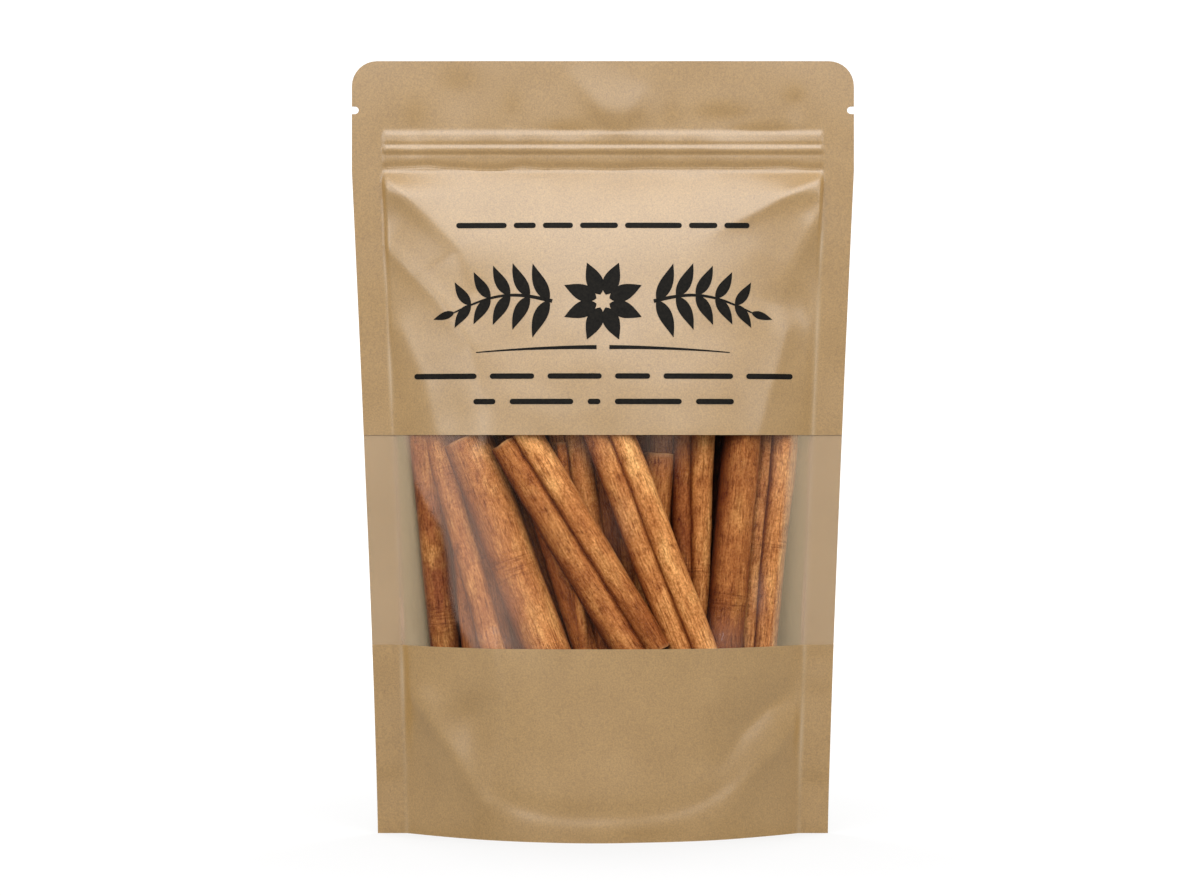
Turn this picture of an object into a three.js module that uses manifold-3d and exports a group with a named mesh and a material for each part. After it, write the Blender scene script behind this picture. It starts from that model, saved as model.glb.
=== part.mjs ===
// A sealed stand-up pouch of cinnamon sticks, standing on its opened base.
// The pouch is kraft-paper laminate with a press-to-close zip and a clear window band across its front.
// Millimetres, +Z up. The pouch faces -Y, and the origin is on the floor under the middle of the base.
import * as THREE from "three";
import { mergeVertices } from "three/addons/utils/BufferGeometryUtils.js";
import Module from "manifold-3d";

const wasm = await Module();
wasm.setup();

// The flat bag, before it is filled.
const pouchHeight = 246;
const flatWidth = 160;
const sideSealWidth = 9.4;
const sealThickness = 1.2;
const cornerRadius = 8;

// Filling the bag opens the base, which draws its two lower corners together.
const baseWidth = 143.4;
const narrowingPower = 1.2;

// How square the bag's section is, as the power of its curve. It is a parabola at the rim and at
// the zip, and fuller in the stretch where the sticks press the panels out.
const plainPower = 2;
const fullPower = 2.7;
const fullerFrom = { foot: 5, head: 60 };
const fullerTo = 130;

// The zip holds the panels together, so at first they swell evenly below it, over this distance.
// Round the window the sticks press them out further, from one pair of heights to the other.
const zipHold = 21;
const stickPress = 2;
const pressFrom = { foot: 8, head: 66 };
const pressTo = { foot: 118, head: 182 };

// The press-to-close zip: a broad flange above a narrow bead, on both panels.
const zipFoot = 211;
const zipFlange = { height: 221.8, reach: 1.7, rise: 0.9 };
const zipBead = { height: 217.8, reach: 1.0, rise: 1.4 };

// Tear notches, one in each side seal.
const notchHeight = 230.3;
const notchDepth = 2.2;
const notchWidth = 2.4;

// The window band, from edge to edge, with its film flush with the paper.
const windowFoot = 60;
const windowHead = 126.8;
const filmThickness = 0.4;
const clearance = 0.3;
const rearWall = 1.2;
const pocketRoom = 0.97;

// The gusset seal is a curve on each panel: low in the middle, and high at the side seals.
const gussetSealLow = 8.6;
const gussetSealHigh = 44;
const gussetSealHalf = 62;
const gussetSealDip = { reach: 4.5, rise: -1.4, from: 8 };

// The relief of a panel dies away over this distance at the side seals.
const reliefFade = 6;

// The underside, between the two skirts that the pouch stands on.
const skirtThickness = 1.6;
const skirtShare = 0.9;
const bellyHeight = 1.5;
const gussetRoof = 9;

// The sticks: how deep a layer of them is, how far one runs on past the window, and how deep the
// waist between two rolls is as a share of the smaller radius.
const layerDepth = 7.4;
const quillOverrun = 14;
const waistShare = 0.35;
const quillRoom = 0.96;

// The core that they lean on: its span as shares of the pouch's inside, how many layers it lies
// back, and how thick it is at the least.
const coreSpan = { left: -0.8, right: 0.84 };
const coreLayers = 1.9;
const coreThickness = 1.5;

// How finely the surfaces are divided.
const panelDivisions = { across: 22, up: 30 };
const windowDivisions = 10;
const hollowDivisions = { across: 16, deep: 8 };
const coreDivisions = 10;
const arcSegments = { cut: 6, quill: 12 };

// How far a cutting body reaches past what it cuts.
const cutPast = 2;

// ---- The pouch's form ----

// Half the pouch's width at a height, out to the edge of the side seals.
function halfWidth(z) {
  const opened = Math.min(z / zipFoot, 1) ** narrowingPower;
  return THREE.MathUtils.lerp(baseWidth, flatWidth, opened) / 2;
}

// Half the width between the side seals.
const innerHalf = (z) => halfWidth(z) - sideSealWidth;

// How much of the sticks' press a height gets, from 0 to 1.
function pressure(z) {
  const rise = THREE.MathUtils.smoothstep(z, pressFrom.foot, pressFrom.head);
  return rise * (1 - THREE.MathUtils.smoothstep(z, pressTo.foot, pressTo.head));
}

// The power of the section's curve at a height.
function fullness(z) {
  const rise = THREE.MathUtils.smoothstep(z, fullerFrom.foot, fullerFrom.head);
  const fall = THREE.MathUtils.smoothstep(z, fullerTo, zipFoot);
  return THREE.MathUtils.lerp(plainPower, fullPower, rise - fall);
}

// How far a panel stands out from the mid-plane. The paper doesn't stretch, so what the panel
// loses in width it gains in depth: its curve keeps the length that it had when flat.
function bulge(x, z) {
  const half = innerHalf(z);
  const across = Math.abs(x) / half;
  if (across >= 1 || z >= zipFoot) return 0;
  const slack = (flatWidth - 2 * sideSealWidth) / (2 * half) - 1;
  const power = fullness(z);
  const depth = half * Math.sqrt(Math.max(slack, 0) * 2 * (2 * power - 1)) / power;
  const freed = Math.sqrt(1 - Math.exp((z - zipFoot) / zipHold));
  return (freed * depth + stickPress * pressure(z)) * (1 - across ** power);
}

const ridge = (distance, reach, rise) => rise * Math.exp(-((distance / reach) ** 2));

// The folds that a filled pouch always has: three from the ends of the zip, and one above each end
// of the gusset seal. Points are x and z.
const folds = [
  { from: [-68, 209], to: [-34, 168], reach: 6, rise: 1.6 },
  { from: [68, 207], to: [30, 178], reach: 6, rise: 1.8 },
  { from: [-66, 176], to: [-42, 150], reach: 5, rise: 1.2 },
  { from: [-58, 48], to: [-30, 30], reach: 6, rise: 1.6 },
  { from: [60, 50], to: [34, 26], reach: 6, rise: 1.6 },
];

function distanceToFold(x, z, { from, to }) {
  const [dx, dz] = [to[0] - from[0], to[1] - from[1]];
  const along = ((x - from[0]) * dx + (z - from[1]) * dz) / (dx * dx + dz * dz);
  const t = THREE.MathUtils.clamp(along, 0, 1);
  return Math.hypot(x - from[0] - t * dx, z - from[1] - t * dz);
}

const gussetSeal = (x) =>
  gussetSealLow + (gussetSealHigh - gussetSealLow) * (Math.abs(x) / gussetSealHalf) ** 3;

// Low relief on a panel. It dies away at the side seals.
function relief(x, z) {
  const fade = THREE.MathUtils.clamp((innerHalf(z) - Math.abs(x)) / reliefFade, 0, 1);
  const zip =
    ridge(z - zipFlange.height, zipFlange.reach, zipFlange.rise) +
    ridge(z - zipBead.height, zipBead.reach, zipBead.rise);
  const seal =
    ridge(z - gussetSeal(x), gussetSealDip.reach, gussetSealDip.rise) *
    THREE.MathUtils.smoothstep(z, 0, gussetSealDip.from);
  const folded = folds.reduce(
    (sum, fold) => sum + ridge(distanceToFold(x, z, fold), fold.reach, fold.rise),
    0,
  );
  const body = z < zipFoot ? seal + folded : 0;
  return fade * (zip + body);
}

const frontFace = (x, z) => -(sealThickness / 2 + bulge(x, z) + relief(x, z));
const backFace = (x, z) => -frontFace(x, z);

// ---- Building solids ----

function solidOf(geometry) {
  const bare = geometry.clone();
  bare.deleteAttribute("normal");
  bare.deleteAttribute("uv");
  const merged = mergeVertices(bare, 1e-4);
  const triVerts = new Uint32Array(merged.index.array);
  const vertProperties = merged.attributes.position.array;
  return new wasm.Manifold(new wasm.Mesh({ numProp: 3, vertProperties, triVerts }));
}

function geometryOf(solid) {
  const { vertProperties, triVerts } = solid.getMesh();
  const geometry = new THREE.BufferGeometry();
  geometry.setAttribute("position", new THREE.BufferAttribute(vertProperties, 3));
  geometry.setIndex(new THREE.BufferAttribute(triVerts, 1));
  geometry.computeVertexNormals();
  return geometry;
}

const joined = (solids) => solids.reduce((whole, piece) => whole.add(piece));

// The numbers from a to b in count even steps.
const steps = (a, b, count) =>
  Array.from({ length: count + 1 }, (_, i) => THREE.MathUtils.lerp(a, b, i / count));

// A closed solid between two surfaces over a grid. columns are functions from a height to x;
// near and far are functions from x and z to y, with near the one towards -Y.
function slab({ columns, heights, near, far }) {
  const positions = [];
  for (const surface of [near, far])
    for (const z of heights)
      for (const column of columns) positions.push(column(z), surface(column(z), z), z);

  const index = [];
  const vertex = (side, row, column) =>
    (side * heights.length + row) * columns.length + column;
  const quad = (a, b, c, d) => index.push(a, b, c, a, c, d);
  const lastRow = heights.length - 1;
  const lastColumn = columns.length - 1;
  for (let r = 0; r < lastRow; r++) {
    for (let c = 0; c < lastColumn; c++) {
      quad(vertex(0, r, c), vertex(0, r, c + 1), vertex(0, r + 1, c + 1), vertex(0, r + 1, c));
      quad(vertex(1, r, c), vertex(1, r + 1, c), vertex(1, r + 1, c + 1), vertex(1, r, c + 1));
    }
    quad(vertex(0, r, 0), vertex(0, r + 1, 0), vertex(1, r + 1, 0), vertex(1, r, 0));
    quad(
      vertex(1, r, lastColumn),
      vertex(1, r + 1, lastColumn),
      vertex(0, r + 1, lastColumn),
      vertex(0, r, lastColumn),
    );
  }
  for (let c = 0; c < lastColumn; c++) {
    quad(vertex(0, 0, c), vertex(1, 0, c), vertex(1, 0, c + 1), vertex(0, 0, c + 1));
    quad(
      vertex(0, lastRow, c),
      vertex(0, lastRow, c + 1),
      vertex(1, lastRow, c + 1),
      vertex(1, lastRow, c),
    );
  }
  const geometry = new THREE.BufferGeometry();
  geometry.setAttribute("position", new THREE.Float32BufferAttribute(positions, 3));
  geometry.setIndex(index);
  return solidOf(geometry);
}

// A flat outline in x and z, pushed right through the pouch from front to back.
function punch(shape) {
  const length = 2 * flatWidth;
  const geometry = new THREE.ExtrudeGeometry(shape, {
    depth: length,
    bevelEnabled: false,
    curveSegments: arcSegments.cut,
  });
  geometry.rotateX(Math.PI / 2);
  geometry.translate(0, length / 2, 0);
  return solidOf(geometry);
}

// ---- The pouch ----

const columnsWithin = (share, count) =>
  steps(-share, share, count).map((u) => (z) => u * innerHalf(z));
const panelColumns = [
  (z) => -halfWidth(z),
  ...columnsWithin(1, panelDivisions.across),
  (z) => halfWidth(z),
];

// The zip's heights are as far from each ridge's crest as its own curve needs.
const bodyHeights = steps(0, zipFoot - 1, panelDivisions.up);
const beadHeights = steps(zipBead.height - 1.8, zipBead.height + 1.8, 4);
const flangeHeights = [-1.1, 0, 1.5, 3.2].map((rise) => zipFlange.height + rise);
const zipHeights = [zipFoot + 1.5, ...beadHeights, ...flangeHeights];
const mouthHeights = steps(zipFlange.height + 3.2, pouchHeight, 2).slice(1);

function pouchBlank() {
  return slab({
    columns: panelColumns,
    heights: [...bodyHeights, ...zipHeights, ...mouthHeights],
    near: frontFace,
    far: backFace,
  });
}

// The waste outside a rounded top corner.
function cornerWaste(side) {
  const reach = flatWidth / 2;
  const shape = new THREE.Shape();
  shape.moveTo(side * (reach + cutPast), pouchHeight - cornerRadius);
  shape.lineTo(side * reach, pouchHeight - cornerRadius);
  shape.absarc(
    side * (reach - cornerRadius),
    pouchHeight - cornerRadius,
    cornerRadius,
    side > 0 ? 0 : Math.PI,
    Math.PI / 2,
    side < 0,
  );
  shape.lineTo(side * (reach - cornerRadius), pouchHeight + cutPast);
  shape.lineTo(side * (reach + cutPast), pouchHeight + cutPast);
  return punch(shape);
}

// A tear notch: a slot with a round inner end.
function notch(side) {
  const edge = flatWidth / 2;
  const round = notchWidth / 2;
  const shape = new THREE.Shape();
  shape.moveTo(side * (edge + cutPast), notchHeight - round);
  shape.lineTo(side * (edge - notchDepth + round), notchHeight - round);
  shape.absarc(
    side * (edge - notchDepth + round),
    notchHeight,
    round,
    -Math.PI / 2,
    Math.PI / 2,
    side > 0,
  );
  shape.lineTo(side * (edge + cutPast), notchHeight + round);
  return punch(shape);
}

// The space behind the window, and the seat of the film on the side seals.
const windowHeights = (inset) =>
  steps(windowFoot + inset, windowHead - inset, windowDivisions);

function windowOpening() {
  const inFront = () => -flatWidth;
  const filmSeat = slab({
    columns: [
      (z) => -halfWidth(z) - cutPast,
      ...panelColumns.slice(1, -1),
      (z) => halfWidth(z) + cutPast,
    ],
    heights: windowHeights(-clearance),
    near: inFront,
    far: (x, z) => frontFace(x, z) + filmThickness + clearance,
  });
  const pocket = slab({
    columns: columnsWithin(pocketRoom, panelDivisions.across),
    heights: windowHeights(-clearance),
    near: inFront,
    far: (x, z) => backFace(x, z) - rearWall,
  });
  return joined([filmSeat, pocket]);
}

// The hollow under the gusset, between the skirts. Its roof sags in the middle.
function baseHollow() {
  const rows = hollowDivisions.deep;
  const positions = [];
  const columns = steps(-skirtShare, skirtShare, hollowDivisions.across);
  const ways = steps(-1, 1, rows);
  for (const top of [false, true])
    for (const way of ways)
      for (const u of columns) {
        const x = u * innerHalf(0);
        const reach = bulge(x, 0) + sealThickness / 2 - skirtThickness;
        const roof = bellyHeight + (gussetRoof - bellyHeight) * Math.max(way ** 2, u ** 2);
        positions.push(x, way * reach, top ? roof : -cutPast);
      }
  const count = columns.length;
  const vertex = (level, row, column) => (level * ways.length + row) * count + column;
  const index = [];
  const quad = (a, b, c, d) => index.push(a, b, c, a, c, d);
  for (let r = 0; r < rows; r++)
    for (let c = 0; c < count - 1; c++) {
      quad(vertex(1, r, c), vertex(1, r, c + 1), vertex(1, r + 1, c + 1), vertex(1, r + 1, c));
      quad(vertex(0, r, c), vertex(0, r + 1, c), vertex(0, r + 1, c + 1), vertex(0, r, c + 1));
    }
  for (let c = 0; c < count - 1; c++) {
    quad(vertex(0, 0, c), vertex(0, 0, c + 1), vertex(1, 0, c + 1), vertex(1, 0, c));
    quad(vertex(0, rows, c + 1), vertex(0, rows, c), vertex(1, rows, c), vertex(1, rows, c + 1));
  }
  for (let r = 0; r < rows; r++) {
    quad(vertex(0, r + 1, 0), vertex(0, r, 0), vertex(1, r, 0), vertex(1, r + 1, 0));
    const last = count - 1;
    quad(vertex(0, r, last), vertex(0, r + 1, last), vertex(1, r + 1, last), vertex(1, r, last));
  }
  const geometry = new THREE.BufferGeometry();
  geometry.setAttribute("position", new THREE.Float32BufferAttribute(positions, 3));
  geometry.setIndex(index);
  return solidOf(geometry);
}

function pouch() {
  const waste = [cornerWaste(-1), cornerWaste(1), notch(-1), notch(1)];
  return pouchBlank()
    .subtract(joined([...waste, windowOpening()]))
    .subtract(baseHollow());
}

// ---- The window film ----

function windowFilm() {
  return slab({
    columns: panelColumns,
    heights: windowHeights(0),
    near: frontFace,
    far: (x, z) => frontFace(x, z) + filmThickness,
  });
}

// ---- The cinnamon ----

// Each quill is bark dried into one roll, or into two rolls side by side. head and foot are x
// where its axis crosses the top and the bottom of the window; layer counts back from the film.
// A quill runs past the window unless it gives the height where its axis is cut.
const quills = [
  { head: -58, foot: -51, rolls: [8.1], layer: 1 },
  { head: -53.6, foot: -34.4, rolls: [7.6, 6.4], layer: 0.4, roll: 35 },
  { head: -44.4, foot: -17.4, rolls: [14.9], layer: 0, cutAbove: 125.2 },
  { head: -33, foot: -13, rolls: [8], layer: 2 },
  { head: -28.8, foot: 12.5, rolls: [7.4, 7.4], layer: 0, cutAbove: 125.6, cutBelow: 57.1 },
  { head: -23.7, foot: -5.5, rolls: [8.2], layer: 1.1 },
  { head: -12.2, foot: -2.2, rolls: [4.4, 7.2], layer: 1.1 },
  { head: -1.4, foot: 5.1, rolls: [10], layer: 1.6 },
  { head: 1.8, foot: 27.2, rolls: [7, 6.8], layer: 0 },
  { head: 9.7, foot: 9.9, rolls: [7.2], layer: 2.4 },
  { head: 17.6, foot: 12.8, rolls: [11.2], layer: 1.2 },
  { head: 29, foot: 26.5, rolls: [5.8, 7.4], layer: 1 },
  { head: 43.2, foot: 36.9, rolls: [12.2], layer: 0 },
  { head: 55.5, foot: 49.2, rolls: [4.6, 7.4], layer: 0.6 },
];

// The outline of a quill's section: one round, or two rounds that lean on each other.
function quillSection(rolls) {
  const shape = new THREE.Shape();
  if (rolls.length === 1) {
    shape.absarc(0, 0, rolls[0] / 2, 0, 2 * Math.PI, false);
    return shape;
  }
  const [left, right] = rolls.map((width) => width / 2);
  const waist = waistShare * Math.min(left, right);
  const reach = (radius) => Math.sqrt(radius * radius - waist * waist);
  const opening = (radius) => Math.asin(waist / radius);
  shape.absarc(reach(right), 0, right, Math.PI + opening(right), Math.PI - opening(right), false);
  shape.absarc(-reach(left), 0, left, opening(left), 2 * Math.PI - opening(left), false);
  return shape;
}

// The y of a quill's axis at a point of the window. A thick quill near a side lies further back,
// because the film curves in over its shoulder, which is at 0.7 of its radius, 0.3 of it lower.
function axisDepth(quill, x, z) {
  const thickest = Math.max(...quill.rolls) / 2;
  const front = frontFace(x, z) + filmThickness + 2 * clearance;
  const shoulder = { out: 0.7 * thickest, drop: 0.3 * thickest };
  const nearEdge = frontFace(Math.sign(x) * (Math.abs(x) + shoulder.out), z);
  const lost = Math.max(0, nearEdge - frontFace(x, z) - shoulder.drop);
  const rear = backFace(x, z) - rearWall - 2 * clearance - thickest;
  return Math.min(front + thickest + lost + quill.layer * layerDepth, rear);
}

function quillSolid(quill) {
  const at = (x, z) => new THREE.Vector3(x, axisDepth(quill, x, z), z);
  const foot = at(quill.foot, windowFoot);
  const head = at(quill.head, windowHead);
  const along = head.clone().sub(foot).normalize();
  const toHeight = (z) => (z - foot.z) / along.z;
  const start = quill.cutBelow ? toHeight(quill.cutBelow) : -quillOverrun;
  const end = quill.cutAbove ? toHeight(quill.cutAbove) : toHeight(windowHead) + quillOverrun;
  const geometry = new THREE.ExtrudeGeometry(quillSection(quill.rolls), {
    depth: end - start,
    steps: 1,
    curveSegments: arcSegments.quill,
    bevelEnabled: false,
  });
  const side = new THREE.Vector3(1, 0, 0).addScaledVector(along, -along.x).normalize();
  side.applyAxisAngle(along, THREE.MathUtils.degToRad(quill.roll ?? 0));
  const facing = along.clone().cross(side);
  const frame = new THREE.Matrix4().makeBasis(side, facing, along);
  frame.setPosition(foot.clone().addScaledVector(along, start));
  return solidOf(geometry.applyMatrix4(frame));
}

// The rest of the sticks, deep in the pouch, as one mass that the front ones lean on.
function stickCore() {
  const inset = 2 * clearance;
  const far = (x, z) => backFace(x, z) - rearWall - inset;
  const columns = steps(coreSpan.left, coreSpan.right, coreDivisions);
  return slab({
    columns: columns.map((u) => (z) => u * innerHalf(z)),
    heights: windowHeights(inset),
    near: (x, z) =>
      Math.min(frontFace(x, z) + coreLayers * layerDepth, far(x, z) - coreThickness),
    far,
  });
}

function cinnamonSticks() {
  const room = slab({
    columns: columnsWithin(quillRoom, panelDivisions.across),
    heights: windowHeights(0),
    near: (x, z) => frontFace(x, z) + filmThickness + clearance,
    far: (x, z) => backFace(x, z) - rearWall - clearance,
  });
  return joined([stickCore(), ...quills.map(quillSolid)]).intersect(room);
}

// ---- The assembly ----

const kraft = new THREE.MeshStandardMaterial({ color: "#b9966d", roughness: 0.7, metalness: 0 });
const film = new THREE.MeshStandardMaterial({
  color: "#e9e4da",
  roughness: 0.12,
  metalness: 0,
  transparent: true,
  opacity: 0.25,
});
const bark = new THREE.MeshStandardMaterial({ color: "#9c5f33", roughness: 0.75, metalness: 0 });

function piece(name, solid, material) {
  const mesh = new THREE.Mesh(geometryOf(solid), material);
  mesh.name = name;
  return mesh;
}

const pack = new THREE.Group();
pack.add(
  piece("pouch", pouch(), kraft),
  piece("window_film", windowFilm(), film),
  piece("cinnamon_sticks", cinnamonSticks(), bark),
);

export default pack;
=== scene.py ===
"""A sealed stand-up pouch of kraft paper, full of cinnamon sticks that show in its window."""

import math

import bpy
import numpy as np
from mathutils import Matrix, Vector, noise


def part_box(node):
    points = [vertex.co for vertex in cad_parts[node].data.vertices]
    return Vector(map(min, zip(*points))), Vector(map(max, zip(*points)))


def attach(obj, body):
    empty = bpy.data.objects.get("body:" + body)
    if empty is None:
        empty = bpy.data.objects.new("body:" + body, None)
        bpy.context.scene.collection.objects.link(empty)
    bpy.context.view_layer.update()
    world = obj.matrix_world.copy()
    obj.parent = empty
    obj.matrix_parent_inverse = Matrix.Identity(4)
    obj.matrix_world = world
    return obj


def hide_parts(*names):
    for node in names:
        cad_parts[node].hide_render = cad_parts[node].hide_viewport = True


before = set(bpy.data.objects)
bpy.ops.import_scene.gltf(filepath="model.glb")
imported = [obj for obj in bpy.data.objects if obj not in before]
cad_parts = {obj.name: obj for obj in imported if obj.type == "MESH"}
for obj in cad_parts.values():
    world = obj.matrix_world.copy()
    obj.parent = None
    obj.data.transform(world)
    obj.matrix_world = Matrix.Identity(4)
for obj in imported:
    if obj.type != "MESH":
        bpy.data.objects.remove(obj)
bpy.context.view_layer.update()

MM = 0.001


# ---- Camera ----
# Level, half-way up the pouch and about a metre in front of it, with a long lens.

bpy.ops.object.camera_add(location=(-0.00172, -1.058, 0.1227), rotation=(math.radians(90), 0, 0))
camera = bpy.context.object
camera.data.lens = 100
camera.data.sensor_width = 36
bpy.context.scene.camera = camera


# ---- The back panel ----
# One sheet of kraft paper laminated with film, welded to the front all round. Filling the pouch
# opens its base and bulges both panels. The zip, welded across inside, presses ridges into them.

pouch_low, pouch_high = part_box("pouch")
flat_width = pouch_high.x - pouch_low.x
pouch_height = pouch_high.z
base_width = 143.4 * MM
narrowing_power = 1.2
zip_foot = 211 * MM
side_seal = 9.4 * MM
corner_radius = 8 * MM
notch_height = 230.3 * MM
notch_depth = 2.2 * MM
notch_half = 1.2 * MM
paper = 0.15 * MM
seal_half = 0.3 * MM

# Below the zip the panels come free over this distance, and the sticks press them out further.
zip_hold = 21 * MM
stick_press = 2.0 * MM

# The zip pressed into a panel, from the top down, as soft steps: height, softness and rise. The
# panel steps out over the flange, dips, steps out over the bead and back, and sinks to the bulge.
zip_steps = [
    (223.2, 0.7, 0.42), (221.4, 1.1, 0.16), (219.9, 0.45, -0.14), (218.75, 0.4, 0.36),
    (216.8, 0.45, -0.54), (215.8, 0.3, 0.06), (212.9, 0.8, -0.52), (211.2, 0.3, 0.12),
]

# The weld to the gusset, a valley that is low in the middle and rises to its two ends.
gusset_seal_low = 8.2 * MM
gusset_seal_high = 44 * MM
gusset_seal_half = 62 * MM
gusset_valley = 0.5 * MM


def smooth(low, high, value):
    """0 at low and before it, 1 from high on, and a soft rise between them."""
    share = np.clip((value - low) / (high - low), 0, 1)
    return share * share * (3 - 2 * share)


def hump(share):
    """1 where share is 0, and a soft fall on both sides of it."""
    return np.exp(-(share**2))


def half_width(z):
    """Half the pouch's width at a height, before its corners are rounded and its notches cut."""
    opened = np.clip(z / zip_foot, 0, 1) ** narrowing_power
    return (base_width + (flat_width - base_width) * opened) / 2


def inner_half(z):
    """Half the width between the side seals."""
    return half_width(z) - side_seal


def edge_half(z):
    """Half the width out to the cut edge, with the rounded top corners and the tear notches."""
    above = np.clip(z - (pouch_height - corner_radius), 0, corner_radius)
    corner = corner_radius - np.sqrt(corner_radius**2 - above**2)
    level = np.abs(z - notch_height)
    round_end = np.sqrt(np.clip(notch_half**2 - level**2, 0, None))
    notch = np.where(level < notch_half, notch_depth - notch_half + round_end, 0)
    return half_width(z) - corner - notch


def bulge(x, z):
    """How far a panel stands out. It keeps its flat length, so what it loses in width it gains
    in depth, but the zip holds it back. Its section is a parabola at the rim and the zip, and
    fuller round the sticks, which press it out a little more."""
    half = inner_half(z)
    fullness = 2 + 0.7 * (smooth(5 * MM, 60 * MM, z) - smooth(130 * MM, zip_foot, z))
    slack = (flat_width - 2 * side_seal) / (2 * half) - 1
    depth = half * np.sqrt(np.clip(slack, 0, None) * 2 * (2 * fullness - 1)) / fullness
    freed = np.sqrt(1 - np.exp(np.minimum(z - zip_foot, 0) / zip_hold))
    pressed = stick_press * smooth(8 * MM, 66 * MM, z) * (1 - smooth(118 * MM, 182 * MM, z))
    return (freed * depth + pressed) * (1 - np.clip(np.abs(x) / half, 0, 1) ** fullness)


def gusset_seal(x):
    """The height of the curved weld between a panel and the gusset."""
    share = np.abs(x) / gusset_seal_half
    return gusset_seal_low + (gusset_seal_high - gusset_seal_low) * share**3


def zip_relief(x, z):
    """The zip's steps, added up from the top of the panel down. Its lower edge is wavy."""
    relief = np.zeros(np.shape(z))
    waves = 0.9 * ripple(x, 0 * z, 17 * MM, 2.5) + 0.4 * ripple(x, 0 * z, 7 * MM, 6.5)
    for height, softness, rise in zip_steps:
        level = z / MM - height - waves * smooth(215, 213, height)
        relief = relief + rise * MM * (1 - np.tanh(level / softness)) / 2
    return relief


def gusset_relief(x, z):
    """The valley along the gusset weld, softer above it, where the pouch hangs over."""
    above = z - gusset_seal(x)
    reach = np.where(above > 0, 4.2 * MM, 2.6 * MM)
    ends = smooth(-41 * MM, -26 * MM, x) * (1 - smooth(36 * MM, 50 * MM, x))
    return -gusset_valley * ends * hump(above / reach)


def fold_relief(x, z, fold):
    """A fold in the paper along a few points, which fades at its far end. Its two flanks,
    to the left and the right of its direction, may differ in width."""
    points = np.array(fold["points"]) * MM
    lengths = np.hypot(*np.diff(points, axis=0).T)
    nearest = np.full(np.shape(x), np.inf)
    share = np.zeros(np.shape(x))
    side = np.zeros(np.shape(x))
    walked = 0
    for (start, end), length in zip(zip(points, points[1:]), lengths):
        way = (end - start) / length
        along = (x - start[0]) * way[0] + (z - start[1]) * way[1]
        off = way[0] * (z - start[1]) - way[1] * (x - start[0])
        held = np.clip(along, 0, length)
        away = np.hypot(x - start[0] - held * way[0], z - start[1] - held * way[1])
        closer = away < nearest
        nearest = np.where(closer, away, nearest)
        share = np.where(closer, (walked + held) / lengths.sum(), share)
        side = np.where(closer, off, side)
        walked += length
    softness = fold.get("softness", 1.2) * MM
    left, right = fold["flanks"]
    from_ridge = np.hypot(nearest, softness)
    reach = (right + (left - right) * (0.5 + 0.5 * side / from_ridge)) * MM
    away = from_ridge - softness
    fade = 1 - fold.get("fade", 0.8) * share**1.5
    return fold["rise"] * MM * fade * np.exp(-away / reach)


def ripple(x, z, size, seed):
    """Soft unevenness of a given size, from -1 to 1."""
    places = zip(np.ravel(x) / size, np.ravel(z) / size)
    return np.reshape([noise.noise(Vector((a, seed, b))) for a, b in places], np.shape(x))


def dent_relief(x, z, dents):
    """Dents, each as x, z, reach across, reach upwards and downwards, and depth, all in mm."""
    relief = np.zeros(np.shape(x))
    for dent_x, dent_z, across, up, down, depth in dents:
        level = z / MM - dent_z
        away = ((x / MM - dent_x) / across) ** 2 + (level / np.where(level > 0, up, down)) ** 2
        relief = relief + depth * MM * np.exp(-away)
    return relief


# Where the welded edges and the header bend out of their plane, with both panels together.
edge_dents = [
    (-68, 16, 5, 4, 9, 0.7), (68, 15, 5, 4, 9, 0.7), (68, 44, 4.5, 3.5, 9, 0.5),
    (68, 55.5, 4.5, 3, 6, 0.45), (-70, 44, 10, 10, 10, 0.5), (72, 150, 16, 16, 16, 0.5),
    (-72, 120, 18, 18, 18, -0.5),
    (38, 227.5, 7, 3.5, 10, 0.75), (-11, 223.8, 6, 1.8, 6, 0.45), (51, 223.4, 9, 1.8, 6, 0.45),
    (-60, 224.5, 3.5, 6, 9, 0.5), (-29, 228, 3, 6, 10, 0.42), (22, 225, 3.5, 6, 9, 0.45),
    (61, 232.5, 3, 3.5, 8, 0.45), (-46, 236, 6, 6, 12, 0.5), (5, 225, 9, 4, 8, 0.5),
]
header_folds = [
    {"points": [(3, 227), (-4, 235), (-11, 243)], "rise": 0.65, "flanks": (3, 9)},
    {"points": [(7, 227), (13.5, 238.5)], "rise": 0.55, "flanks": (9, 3)},
]


seal_wave = 0.35 * MM


def sway(x, z):
    """How far both panels stand off the middle plane together, in the seals and the header."""
    in_seal = smooth(-4 * MM, 2 * MM, np.abs(x) - inner_half(z))
    flat = np.maximum(in_seal, smooth(0.205, 0.222, z))
    offset = seal_wave * ripple(x, z, 24 * MM, 7) + dent_relief(x, z, edge_dents)
    for fold in header_folds:
        offset = offset - fold_relief(x, z, fold)
    return offset * flat * smooth(0, 5 * MM, z)


# The panels' broad waves and fine crinkles, and the ridge that the side welds squeeze up. It and
# the pale line painted along the seals as a highlight start this far below the zip.
wave_depth = 0.5 * MM
crinkle_depth = 0.12 * MM
weld_ridge = 0.12 * MM
weld_half = 0.9 * MM
weld_start = 30 * MM


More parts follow.
